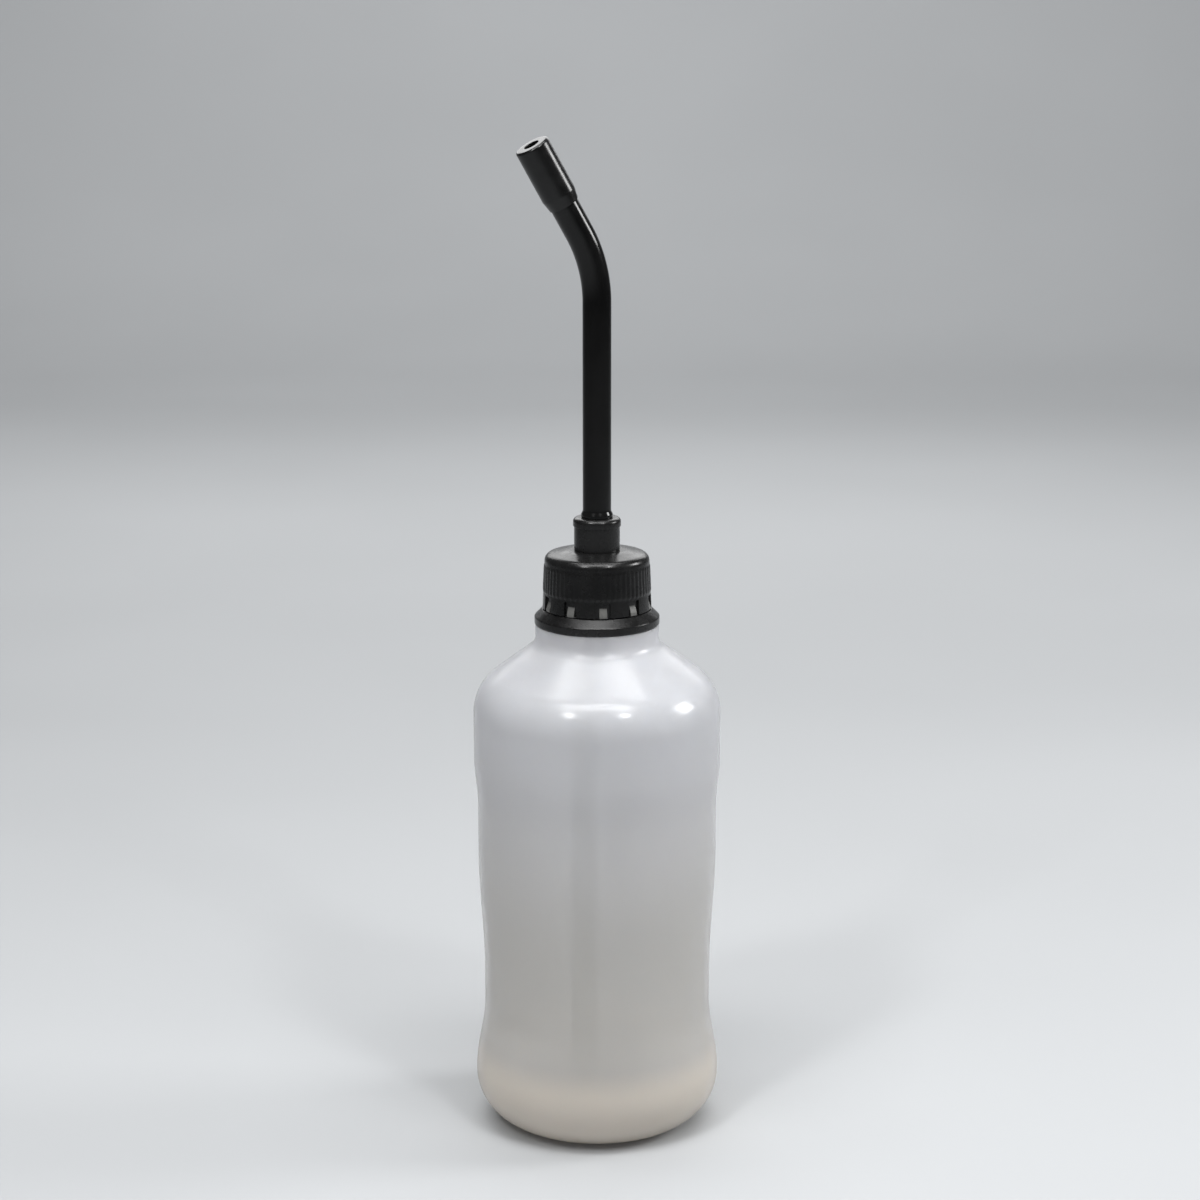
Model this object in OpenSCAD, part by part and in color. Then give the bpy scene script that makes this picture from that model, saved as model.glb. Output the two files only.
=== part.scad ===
// Squeeze bottle for fuel, with a screw cap, a bent spout that swivels in the cap, and a dip tube.
// It stands on z = 0 with the bottle's axis on Z, and the spout bends over towards -X.

/* [Bottle] */
// Largest diameter, at the foot and at the shoulder
bottle_d = 72; // [60:0.5:90]
// Diameter of the waist above the foot
waist_d = 66.7; // [56:0.1:80]
// Diameter of the long, slightly fuller stretch above the waist
belly_d = 69.9; // [58:0.1:84]
// Wall thickness
wall = 1.3; // [1:0.1:2]
// Radius of the round foot
foot_round = 14.8; // [8:0.1:16]
// Height over which the foot draws in to the waist
foot_blend = 22.2; // [12:0.1:40]
// Height of the straight waist
waist_len = 9; // [4:0.5:30]
// Height over which the waist grows to the belly
belly_blend = 38; // [20:0.5:60]
// Height of the body, up to the foot of the round shoulder
body_h = 125; // [118:0.5:150]
// Height of the soft step from the belly up to the shoulder band
step_blend = 15; // [6:0.5:30]
// Height of the straight band under the shoulder
band_len = 13; // [4:0.5:40]
// Radius of the round shoulder
shoulder_round = 14; // [6:0.5:18]
// Slope of the shoulder cone above the horizontal, in degrees
shoulder_slope = 37; // [25:1:50]
// Width of the flat ring that the bottle stands on
stand_w = 2.8; // [2:0.1:5]
// Height of the hollow under the base
base_dome = 3.5; // [1:0.1:6]

/* [Neck] */
// Diameter of the wide root of the neck
neck_root_d = 35.8; // [32:0.1:40]
// Height of the root of the neck, from the shoulder cone to the ledge
neck_root_h = 5.4; // [4:0.1:12]
// Radius of the hollow between the shoulder cone and the root of the neck
neck_root_round = 4; // [1:0.5:6]
// Diameter of the neck under its thread
neck_d = 25; // [24:0.1:27]
// Diameter of the bore of the neck
neck_bore_d = 21.6; // [20:0.1:22.5]
// Rounding of the edges of the neck
neck_edge = 0.5; // [0.2:0.1:0.6]
// Rise of the thread in one turn
thread_pitch = 4.2; // [3.8:0.1:5]
// Length of the thread, in turns
thread_turns = 1.5; // [1:0.25:1.75]
// Height of the thread ridges
thread_depth = 1.1; // [0.8:0.1:1.3]
// Width of a ridge of the neck at its crest
ridge_crest = 0.9; // [0.5:0.1:1]
// Width of a ridge of the cap at its crest
cap_ridge_crest = 0.7; // [0.5:0.1:0.8]
// Plain height of the neck above its thread
thread_margin = 0.8; // [0.4:0.1:3]
// Plain height of the cap's bore below its thread
thread_lead = 2.9; // [0.5:0.1:4]
// How far the retaining bead stands out of the neck
bead_out = 1.4; // [0.8:0.1:1.6]
// Height of the retaining bead
bead_h = 2; // [1.2:0.1:3]

/* [Tamper ring] */
// Diameter of the flared rim
ring_d = 36.2; // [34:0.1:42]
// Height of the straight face of the rim
ring_rim_h = 2.4; // [2:0.1:4]
// Height of the cone above the rim
ring_cone_h = 2.2; // [1:0.1:4]
// Rounding of the lower edge of the rim
ring_round = 0.6; // [0.2:0.1:1]
// Height of the inner lip, which hooks under the neck's bead
ring_lip_h = 1.1; // [0.8:0.1:1.5]

/* [Cap] */
// Wall of the cap at the foot of its skirt
cap_wall = 1.75; // [1.5:0.05:2.5]
// How much narrower the skirt is at the top than at its foot, in diameter
cap_draft = 1.4; // [0.2:0.1:1.6]
// Thickness of the cap's top at the collar
cap_top = 2.5; // [2:0.1:4]
// Rise of the cap's top from its edge to its flat middle
cap_crown = 1.3; // [0.4:0.1:1.6]
// Diameter of the flat middle of the cap's top
cap_flat_d = 17; // [16:0.5:22]
// Radius of the rounding around the flat middle
cap_crown_round = 8; // [1:0.5:8]
// Radius of the rounded top edge
cap_round = 2.2; // [0.8:0.1:2.4]
// Number of grip ribs
rib_count = 60; // [20:2:72]
// Width of one grip rib
rib_w = 0.9; // [0.5:0.1:1]
// How far a grip rib stands out
rib_out = 0.16; // [0.1:0.02:0.3]
// Plain height of the skirt above and below the ribs
rib_margin = 0.6; // [0.4:0.1:3]
// Number of notches in the foot of the skirt, each with the stub of a torn bridge
notch_count = 10; // [6:1:12]
// Width of one notch
notch_w = 4; // [3:0.1:5]
// Height of one notch
notch_h = 4.3; // [3.5:0.1:6]
// Depth of one notch
notch_depth = 0.9; // [0.5:0.1:1.2]
// Width of one stub
stub_w = 2.3; // [1:0.1:2.5]
// Height of one stub
stub_h = 2.7; // [1.5:0.1:3.2]
// Thickness of the sealing liner
liner_t = 1.2; // [0.6:0.1:2]
// Width of the sealing liner
liner_w = 4.1; // [3:0.1:4.3]

/* [Collar] */
// Diameter of the collar
collar_d = 13.2; // [12.2:0.1:16]
// How far the collar's rim stands out of the collar
collar_rim_out = 0.3; // [0.2:0.1:1.5]
// Height of the collar above the cap
collar_h = 9.5; // [8:0.1:16]
// Height of the collar's rim
collar_rim_h = 2.5; // [1.5:0.1:3]
// Rounding of the rim's upper edge
collar_round = 1.2; // [0.4:0.1:1.4]
// Wall of the threaded shank around the pipe
shank_wall = 1.45; // [1.2:0.05:1.6]
// How far the shank runs on under the nut
shank_out = 0.7; // [0.4:0.1:2]
// Height of the nut
nut_h = 4; // [3:0.1:5]
// Width of the nut's wall at the middle of a flat
nut_wall = 2; // [1.6:0.1:2.2]
// Thickness of the washer over the nut
washer_t = 0.8; // [0.5:0.1:1.5]
// Width of that washer
washer_w = 2.8; // [2:0.1:3]
// Cord diameter of the O-ring around the pipe
seal_cord = 1.5; // [1.3:0.1:1.6]
// Height of the O-ring's groove above the cap
seal_up = 3.7; // [1:0.1:4]

/* [Spout] */
// Outer diameter of the pipe
pipe_d = 8.2; // [7.8:0.1:8.6]
// Wall of the pipe
pipe_wall = 1.1; // [0.9:0.05:1.3]
// How far the bead at the pipe's foot stands out of the pipe
pipe_bead_out = 0.45; // [0.3:0.05:0.9]
// Height of that bead
pipe_bead_h = 1.9; // [1.2:0.1:3]
// Straight length of the pipe above the collar
pipe_rise = 61.6; // [40:0.2:90]
// Radius of the bend, at the pipe's axis
bend_r = 40; // [25:0.5:60]
// Angle of the bend, in degrees
bend_angle = 30; // [15:1:45]
// Straight length from the bend to the mouth of the tip
tip_len = 28.4; // [24:0.2:50]
// Length of the thinner lower end that takes the dip tube
spigot_len = 10.5; // [8:0.5:16]
// Wall of that thinner end
spigot_wall = 0.8; // [0.6:0.1:1]
// Height of the cone between the pipe and its thinner end
spigot_cone_h = 1.4; // [1:0.1:3]
// Thickness of the snap ring
snap_t = 1; // [0.7:0.1:1.4]
// Depth of the groove of the snap ring
snap_in = 0.4; // [0.3:0.05:0.5]
// How far the snap ring stands out of the pipe
snap_out = 1.5; // [1:0.1:2]
// Length of pipe below the snap ring
snap_below = 1.1; // [0.6:0.1:3]

/* [Tip sleeve] */
// Wall of the sleeve around the pipe
sleeve_wall = 0.9; // [0.7:0.1:2]
// Length of its straight part
sleeve_len = 16; // [8:0.5:18]
// Length of its tapered back
sleeve_taper = 3.2; // [1.5:0.1:4]
// Wall at the end of the taper
sleeve_end = 0.3; // [0.2:0.05:0.5]
// Length of the lip in front of the pipe's end
lip_len = 3; // [2:0.1:5]
// Diameter of the mouth
mouth_d = 4.4; // [3:0.1:5.4]

/* [Dip tube] */
// Wall of the dip tube
tube_wall = 0.75; // [0.6:0.05:1]
// Sideways shift of the tube, from its curl
tube_shift = 4.1; // [2:0.1:5]
// Radius of the tube's curl
tube_curl_r = 30; // [20:1:60]
// Gap between the end of the tube and the middle of the floor
tube_gap = 3; // [2:0.5:8]

/* [Clearances] */
// Gap between parts that turn past each other
gap = 0.4; // [0.3:0.05:0.5]
// Gap between parts that only part from each other or turn face to face
small_gap = 0.3; // [0.3:0.05:0.4]
// Radial play of a running fit
running = 0.05; // [0.02:0.01:0.08]
// Radial play of a clamped part in its hole
loose = 0.1; // [0.05:0.01:0.2]

/* [Hidden] */
$fn = 72;
arc_step = 9;          // turn of an outline between two points of a rounding, in degrees
blend_step = 3;        // height between two points of a blend
over = 1;              // how far a cutting shape runs past what it cuts
weld = 0.02;           // how far a stretch of pipe or tube starts inside the one before it
thinner = 0.005;       // how much smaller its radius is than that of the one before it
rib_root = 0.4;        // how deep a grip rib or a stub is rooted in the skirt
rib_dip = 0.02;        // how far the ends of a rib start under the skirt's face
rib_end = 2;           // length of the sloping end of a rib over its height
stub_face = 0.25;      // share of a stub's height that its outer face takes
skirt_lead = 0.4;      // bevel inside the foot of the skirt
neck_flank = 0.9;      // how much wider a ridge of the neck is at its root, over its height
cap_flank = 0.65;      // the same for a ridge of the cap
bead_round = 1 / 6;    // rounding of the retaining bead over its height
lip_round = 0.8;       // rounding of the sleeve's mouth over its wall
first_notch = 254.8;   // direction of the first notch, in degrees from +X
fine_round = 0.2;      // rounding of small edges
ring_step = 0.1;       // how much wider the top of the ring is than the cap

// Radii and levels of the bottle
bottle_r = bottle_d / 2;
stand_r = bottle_r - foot_round - stand_w;
belly_low = foot_round + foot_blend + waist_len;
step_low = body_h - band_len - step_blend;
turn_angle = 90 - shoulder_slope;
shoulder_z = body_h + shoulder_round * tan(turn_angle / 2);
neck_root_r = neck_root_d / 2;
root_z = tidy(shoulder_z + (bottle_r - neck_root_r) * tan(shoulder_slope));
ledge_z = root_z + neck_root_h;
floor_z = base_dome + wall;

// Tamper ring, from the ledge up
ring_cone_low = ledge_z + ring_rim_h;
ring_top = ring_cone_low + ring_cone_h;
cap_foot_z = ring_top + small_gap;

// Neck and thread
neck_r = neck_d / 2;
bore_r = neck_bore_d / 2;
bead_z = ledge_z + ring_lip_h + gap;
thread_len = thread_turns * thread_pitch;
ridge_base = ridge_crest + neck_flank * thread_depth;
cap_ridge_base = cap_ridge_crest + cap_flank * thread_depth;
ridge_shift = (ridge_base + ridge_crest + cap_ridge_base + cap_ridge_crest) / 4 + gap;
cap_ridge_z = cap_foot_z + thread_lead + cap_ridge_base / 2;
ridge_z = cap_ridge_z + ridge_shift;
neck_top = ridge_z + thread_len + ridge_base / 2 + thread_margin;
thread_steps = 30;     // steps of the thread in one turn
run_out = 4;           // steps over which a ridge rises at its ends
sink = 0.5;            // how deep a ridge is rooted in its wall

// Cap
cap_bore_r = neck_r + thread_depth + gap;
cap_foot_r = cap_bore_r + cap_wall;
cap_top_r = cap_foot_r - cap_draft / 2;
cap_inner_z = neck_top + liner_t;
cap_seat_z = cap_inner_z + cap_top;
cap_edge_z = cap_seat_z - cap_crown;
cap_flat_r = cap_flat_d / 2;
cap_slant = (cap_foot_r - cap_top_r) / (cap_edge_z - cap_foot_z);
ring_inner_r = neck_r + bead_out + gap;
liner_r = cap_bore_r - gap;

// Pipe, collar, nut and washer
pipe_r = pipe_d / 2;
pipe_bore_r = pipe_r - pipe_wall;
collar_r = collar_d / 2;
collar_rim_r = collar_r + collar_rim_out;
collar_bore_r = pipe_r + running;
collar_top = cap_seat_z + collar_h;
collar_rim_z = collar_top - collar_rim_h;
shank_r = collar_bore_r + shank_wall;
collar_hole_r = shank_r + loose;
washer_z = cap_inner_z - washer_t;
washer_r = collar_hole_r + washer_w;
nut_z = washer_z - nut_h;
nut_corner_r = (shank_r + nut_wall) / cos(30);
shank_z = nut_z - shank_out;
seal_squeeze = 0.77;   // width of the squeezed O-ring over its cord diameter
seal_r = collar_bore_r + seal_cord * seal_squeeze;
seal_z = cap_seat_z + seal_up;
snap_slack = 0.1;
snap_z = shank_z - small_gap - snap_t;
snap_gap_angle = 40;   // opening of the snap ring, in degrees
spigot_r = pipe_bore_r;
spigot_bore_r = spigot_r - spigot_wall;
spigot_cone_top = snap_z - snap_slack - snap_below;
spigot_top = spigot_cone_top - spigot_cone_h;
spigot_z = spigot_top - spigot_len;
bend_z = collar_top + pipe_rise;
sleeve_r = pipe_r + sleeve_wall;

// Dip tube: two equal arcs turn it aside and back
tube_r = spigot_r + tube_wall;
curl_angle = acos(1 - tube_shift / (2 * tube_curl_r));
curl_top = spigot_z - over;
curl_low = tidy(curl_top - 2 * tube_curl_r * sin(curl_angle));
tube_top = spigot_top - loose;
tube_end = floor_z + tube_gap;

// A length rounded to a hundredth of a millimetre
function tidy(v) = round(v * 100) / 100;

// The angle that a length of arc takes on a radius r
function arc_angle(length, r) = length / r * 180 / PI;

// A unit vector along v
function unit(v) = v / norm(v);

// The same list from its end to its start
function reversed(list) = [for (i = [len(list) - 1:-1:0]) list[i]];

// A value that runs from a to b in an S curve as t goes from 0 to 1
function eased(a, b, t) = a + (b - a) * (1 - cos(180 * t)) / 2;

// Points of the arc of radius r that rounds the corner at b between a and c
function corner(a, b, c, r) =
    let (u = unit(a - b), v = unit(c - b), half = acos(u * v) / 2)
    let (first = b + u * r / tan(half), centre = b + unit(u + v) * r / sin(half))
    let (start = atan2(first[1] - centre[1], first[0] - centre[0]))
    let (side = u[0] * v[1] - u[1] * v[0] > 0 ? -1 : 1, sweep = side * (180 - 2 * half))
    let (n = max(1, ceil(abs(sweep) / arc_step)))
    [for (i = [0:n]) centre + r * [cos(start + sweep * i / n), sin(start + sweep * i / n)]];

// A closed outline from points [r, z, radius of the rounding there]
function rounded(pts) =
    let (n = len(pts), flat = [for (p = pts) [p[0], p[1]]])
    [for (i = [0:n - 1]) each pts[i][2] > 0
        ? corner(flat[(i + n - 1) % n], flat[i], flat[(i + 1) % n], pts[i][2])
        : [flat[i]]];

// Points of an S-curved change of radius from a at height z to b at height z + h, without the first
function blend(a, b, z, h) =
    let (n = ceil(h / blend_step))
    [for (i = [1:n]) [eased(a, b, i / n), z + h * i / n, 0]];

// Outline of the side of the bottle from the foot up, moved in by t
function side(t) =
    let (widest = bottle_r - t, waist = waist_d / 2 - t, belly = belly_d / 2 - t)
    concat(
        [[widest, t, foot_round - t]],
        blend(widest, waist, foot_round, foot_blend),
        [[waist, belly_low, 0]],
        blend(waist, belly, belly_low, belly_blend),
        [[belly, step_low, 0]],
        blend(belly, widest, step_low, step_blend),
        [[widest, shoulder_z - t * tan(turn_angle / 2), shoulder_round - t]]);

// Points of the shallow dome of the base, from the middle to the standing ring, raised by t
function dome(t) = [for (i = [0:6]) [stand_r * i / 6, base_dome * (1 - pow(i / 6, 2)) + t, 0]];

// Height of the inner face of the shoulder cone at radius r
function inner_cone_z(r) =
    shoulder_z - wall * tan(turn_angle / 2) + (bottle_r - wall - r) * tan(shoulder_slope);

// Radius of the cap's skirt at height z
function skirt_r(z) = cap_foot_r - cap_slant * (z - cap_foot_z);

// A solid turned about Z from an outline of [r, z, rounding] points
module turned(pts) {
    rotate_extrude() polygon(rounded(pts));
}

// An upright tube
module tube(z, h, outer, inner) {
    translate([0, 0, z]) difference() {
        cylinder(h = h, r = outer);
        translate([0, 0, -over]) cylinder(h = h + 2 * over, r = inner);
    }
}

// A thread ridge on a wall of radius root, rising to radius crest, base wide at the wall and tip
// wide at the crest, whose middle starts at height z
module ridge(z, root, crest, base, tip) {
    n = round(thread_turns * thread_steps);
    way = crest > root ? 1 : -1;
    points = [for (i = [0:n])
        let (a = 360 * i / thread_steps, mid = z + thread_pitch * i / thread_steps)
        let (rise = min(1, i / run_out, (n - i) / run_out))
        let (peak = root + (crest - root) * (rise * 1.1 - 0.1), foot = root - way * sink)
        each [for (p = [[foot, -base / 2], [peak, -tip / 2], [peak, tip / 2], [foot, base / 2]])
            [p[0] * cos(a), p[0] * sin(a), mid + p[1]]]];
    skin = [for (i = [0:n - 1], j = [0:3])
        let (p = 4 * i + j, q = 4 * i + (j + 1) % 4)
        each [[p, q, q + 4], [p, q + 4, p + 4]]];
    last = 4 * n;
    ends = [[3, 2, 1], [3, 1, 0], [last, last + 1, last + 2], [last, last + 2, last + 3]];
    faces = concat(skin, ends);
    polyhedron(points, way > 0 ? faces : [for (f = faces) reversed(f)]);
}

module bottle() {
    bead_r = neck_r + bead_out;
    color([0.88, 0.88, 0.86, 0.6]) {
        turned(concat(
            dome(0),
            side(0),
            [
                [neck_root_r, root_z, neck_root_round],
                [neck_root_r, ledge_z, neck_edge],
                [neck_r, ledge_z, 0],
                [neck_r, bead_z, 0],
                [bead_r, bead_z, bead_round * bead_h],
                [bead_r, bead_z + bead_h / 2, bead_round * bead_h],
                [neck_r, bead_z + bead_h, 0],
                [neck_r, neck_top, neck_edge],
                [bore_r, neck_top, neck_edge],
                [bore_r, inner_cone_z(bore_r), neck_edge],
            ],
            reversed(side(wall)),
            reversed(dome(wall))
        ));
        ridge(ridge_z, neck_r, neck_r + thread_depth, ridge_base, ridge_crest);
    }
}

module tamper_ring() {
    rim_r = ring_d / 2;
    lip_r = neck_r + gap;
    color([0.12, 0.12, 0.12]) turned([
        [lip_r, ledge_z, 0],
        [rim_r, ledge_z, ring_round],
        [rim_r, ring_cone_low, 2 * fine_round],
        [cap_foot_r + ring_step, ring_top, 0],
        [ring_inner_r, ring_top, 0],
        [ring_inner_r, ledge_z + ring_lip_h, 0],
        [lip_r, ledge_z + ring_lip_h, 0],
    ]);
}

module cap_liner() {
    color([0.75, 0.75, 0.72]) tube(neck_top, liner_t, liner_r, liner_r - liner_w);
}

// A bar of width w with an outline in the plane of the axis, centred on +X
module fin(w, pts) {
    translate([0, w / 2, 0]) rotate([90, 0, 0]) linear_extrude(w) polygon(pts);
}

// One grip rib: a bar along the skirt of the cap, rooted in it, with sloping ends
module rib() {
    low = cap_foot_z + notch_h + rib_margin;
    high = cap_edge_z - cap_round - rib_margin;
    fin(rib_w, [
        [skirt_r(low) - rib_root, low],
        [skirt_r(low) - rib_dip, low],
        [skirt_r(low) + rib_out, low + rib_end * rib_out],
        [skirt_r(high) + rib_out, high - rib_end * rib_out],
        [skirt_r(high) - rib_dip, high],
        [skirt_r(high) - rib_root, high],
    ]);
}

// One notch of the foot of the skirt, as the solid that is cut away
module notch() {
    low = cap_foot_z - over;
    floor_r = cap_foot_r - notch_depth;
    translate([floor_r, -notch_w / 2, low]) cube([over + notch_depth, notch_w, notch_h + over]);
}

// The stub of a torn bridge: a small wedge in its notch
module stub() {
    floor_r = cap_foot_r - notch_depth;
    face_r = cap_foot_r - fine_round;
    fin(stub_w, [
        [floor_r - rib_root, cap_foot_z],
        [face_r, cap_foot_z],
        [face_r, cap_foot_z + stub_face * stub_h],
        [floor_r, cap_foot_z + stub_h],
        [floor_r - rib_root, cap_foot_z + stub_h],
    ]);
}

module cap() {
    color([0.13, 0.13, 0.13]) {
        difference() {
            turned([
                [cap_bore_r + skirt_lead, cap_foot_z, 0],
                [cap_foot_r, cap_foot_z, fine_round],
                [cap_top_r, cap_edge_z, cap_round],
                [cap_flat_r, cap_seat_z, cap_crown_round],
                [collar_hole_r, cap_seat_z, 0],
                [collar_hole_r, cap_inner_z, 0],
                [cap_bore_r, cap_inner_z, 0],
                [cap_bore_r, cap_foot_z + skirt_lead, 0],
            ]);
            for (i = [0:notch_count - 1]) rotate([0, 0, first_notch + i * 360 / notch_count]) notch();
        }
        for (i = [0:notch_count - 1]) rotate([0, 0, first_notch + i * 360 / notch_count]) stub();
        for (i = [0:rib_count - 1]) rotate([0, 0, first_notch + i * 360 / rib_count]) rib();
        ridge(cap_ridge_z, cap_bore_r, cap_bore_r - thread_depth, cap_ridge_base, cap_ridge_crest);
    }
}

module spout_collar() {
    color([0.14, 0.14, 0.14]) difference() {
        turned([
            [0, shank_z, 0],
            [shank_r, shank_z, 2 * fine_round],
            [shank_r, cap_seat_z, 0],
            [collar_r, cap_seat_z, 0],
            [collar_r, collar_rim_z, fine_round / 2],
            [collar_rim_r, collar_rim_z, fine_round / 2],
            [collar_rim_r, collar_top, collar_round],
            [0, collar_top, 0],
        ]);
        translate([0, 0, shank_z - over])
            cylinder(h = collar_top - shank_z + 2 * over, r = collar_bore_r);
        translate([0, 0, seal_z]) cylinder(h = seal_cord, r = seal_r);
    }
}

module collar_nut() {
    color([0.2, 0.2, 0.2]) translate([0, 0, nut_z]) difference() {
        cylinder(h = nut_h, r = nut_corner_r, $fn = 6);
        translate([0, 0, -over]) cylinder(h = nut_h + 2 * over, r = shank_r + running);
    }
}

module nut_washer() {
    color([0.3, 0.3, 0.3]) tube(washer_z, washer_t, washer_r, collar_hole_r);
}

module pipe_seal() {
    color([0.1, 0.1, 0.1]) rotate_extrude() intersection() {
        translate([(collar_bore_r + seal_r) / 2, seal_z + seal_cord / 2]) circle(d = seal_cord);
        translate([collar_bore_r, seal_z]) square([seal_r - collar_bore_r, seal_cord]);
    }
}

// Places its children at the end of the bend, with Z along the tip
module at_bend_end() {
    translate([-bend_r, 0, bend_z]) rotate([0, -bend_angle, 0]) translate([bend_r, 0, 0]) children();
}

// An arc of rod of radius r, bent to radius bend, in the XZ plane about the centre at [x, z],
// from one angle to another, anticlockwise as seen from -Y
module bent_rod(r, bend, x, z, from, to) {
    translate([x, 0, z]) rotate([90, 0, 0]) rotate([0, 0, from])
        rotate_extrude(angle = to - from) translate([bend, 0]) circle(r = r);
}

// A rod of radius r along the pipe's axis, from height low to the pipe's end and past it
module pipe_rod(r, low, past) {
    translate([0, 0, low]) cylinder(h = bend_z - low, r = r);
    bent_rod(r - thinner, bend_r, -bend_r, bend_z, -arc_angle(weld, bend_r), bend_angle);
    at_bend_end() translate([0, 0, -weld])
        cylinder(h = tip_len - lip_len + past + weld, r = r - 2 * thinner);
}

module spout_pipe() {
    bead_r = pipe_r + pipe_bead_out;
    bead_top = collar_top + pipe_bead_h;
    far = bottle_r;
    color([0.04, 0.04, 0.04]) difference() {
        union() {
            pipe_rod(pipe_r, spigot_z, 0);
            turned([
                [0, collar_top, 0],
                [bead_r, collar_top, 0],
                [bead_r, collar_top + pipe_bead_h / 2, pipe_bead_out],
                [pipe_r - running, bead_top, 0],
                [0, bead_top, 0],
            ]);
        }
        tube(snap_z - snap_slack, snap_t + 2 * snap_slack, far, pipe_r - snap_in);
        turned([
            [far, spigot_z - over, 0],
            [spigot_r, spigot_z - over, 0],
            [spigot_r, spigot_top, 0],
            [pipe_r, spigot_cone_top, 0],
            [far, spigot_cone_top, 0],
        ]);
        translate([0, 0, spigot_z - over]) cylinder(h = spigot_len + 2 * over, r = spigot_bore_r);
        pipe_rod(pipe_bore_r, spigot_cone_top, over);
        translate([0, 0, spigot_top])
            cylinder(h = spigot_cone_h, r1 = spigot_bore_r, r2 = pipe_bore_r);
    }
}

module snap_ring() {
    color([0.5, 0.5, 0.5]) translate([0, 0, snap_z]) rotate_extrude(angle = 360 - snap_gap_angle)
        translate([pipe_r - snap_in, 0]) square([snap_in + snap_out, snap_t]);
}

module tip_sleeve() {
    back = sleeve_len + sleeve_taper;
    color([0.06, 0.06, 0.06]) at_bend_end() translate([0, 0, tip_len]) turned([
        [mouth_d / 2, 0, fine_round],
        [mouth_d / 2, -lip_len, 0],
        [pipe_r, -lip_len, 0],
        [pipe_r, -back, 0],
        [pipe_r + sleeve_end, -back, 0],
        [sleeve_r, -sleeve_len, sleeve_wall],
        [sleeve_r, 0, lip_round * sleeve_wall],
    ]);
}

// A rod of radius r along the dip tube's axis, whose ends run on by past
module tube_rod(r, past) {
    lap = arc_angle(weld, tube_curl_r);
    translate([0, 0, curl_top]) cylinder(h = tube_top - curl_top + past, r = r);
    bent_rod(r - thinner, tube_curl_r, -tube_curl_r, curl_top, -curl_angle, lap);
    bent_rod(r - 2 * thinner, tube_curl_r, tube_curl_r - tube_shift, curl_low,
        180 - curl_angle - lap, 180);
    translate([-tube_shift, 0, tube_end - past])
        cylinder(h = curl_low - tube_end + past + weld, r = r - 3 * thinner);
}

module dip_tube() {
    color([0.85, 0.85, 0.8]) difference() {
        tube_rod(tube_r, 0);
        tube_rod(spigot_r, over);
    }
}

bottle();
tamper_ring();
cap_liner();
cap();
spout_collar();
collar_nut();
nut_washer();
pipe_seal();
spout_pipe();
snap_ring();
tip_sleeve();
dip_tube();
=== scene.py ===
"""The fuel bottle, dressed for its portrait.

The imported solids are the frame. The pieces that can be seen are made again here as smooth surfaces
on the same sizes, and each one stands for its solid. Sizes are in millimetres, and the meshes are
in metres. The bottle's axis is Z, and the spout bends over towards -X.
"""

import logging
import math
from dataclasses import dataclass, field
from enum import Enum
from typing import ClassVar

import bpy
import numpy as np
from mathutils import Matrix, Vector


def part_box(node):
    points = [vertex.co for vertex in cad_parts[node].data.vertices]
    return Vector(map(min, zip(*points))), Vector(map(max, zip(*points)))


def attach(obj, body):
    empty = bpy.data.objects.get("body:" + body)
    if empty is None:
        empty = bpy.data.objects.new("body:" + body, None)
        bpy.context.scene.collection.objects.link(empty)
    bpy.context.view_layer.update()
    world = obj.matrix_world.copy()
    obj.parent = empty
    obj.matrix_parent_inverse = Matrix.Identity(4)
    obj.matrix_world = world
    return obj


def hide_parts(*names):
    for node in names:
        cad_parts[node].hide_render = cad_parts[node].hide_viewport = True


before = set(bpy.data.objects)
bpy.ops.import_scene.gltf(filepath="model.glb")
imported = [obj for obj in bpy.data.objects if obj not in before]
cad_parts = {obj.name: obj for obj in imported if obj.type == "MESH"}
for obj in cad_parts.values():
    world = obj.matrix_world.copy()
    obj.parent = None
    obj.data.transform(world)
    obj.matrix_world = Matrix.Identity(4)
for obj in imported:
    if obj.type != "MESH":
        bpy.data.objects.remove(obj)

MM = 0.001
CREASE = math.radians(48)
SAME = 1e-6
log = logging.getLogger("fuel_bottle")

Colour = tuple[float, float, float]
Corner = tuple[float, float, float]
Point = tuple[float, float, float]


# Shapes


def level(node: str, top: bool) -> float:
    """Height of a solid's lowest or highest point.

    Args:
        node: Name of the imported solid.
        top: True for its highest point, False for its lowest.

    Returns:
        The height in millimetres.
    """
    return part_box(node)[1 if top else 0].z / MM


def eased(start: float, end: float, t: np.ndarray) -> np.ndarray:
    """S curve from start to end: half a cosine wave over t from 0 to 1.

    Args:
        start: Value at t = 0.
        end: Value at t = 1.
        t: Places along the curve, held between 0 and 1.

    Returns:
        The value at each place.
    """
    return start + (end - start) * (1 - np.cos(np.pi * np.clip(t, 0, 1))) / 2


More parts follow.
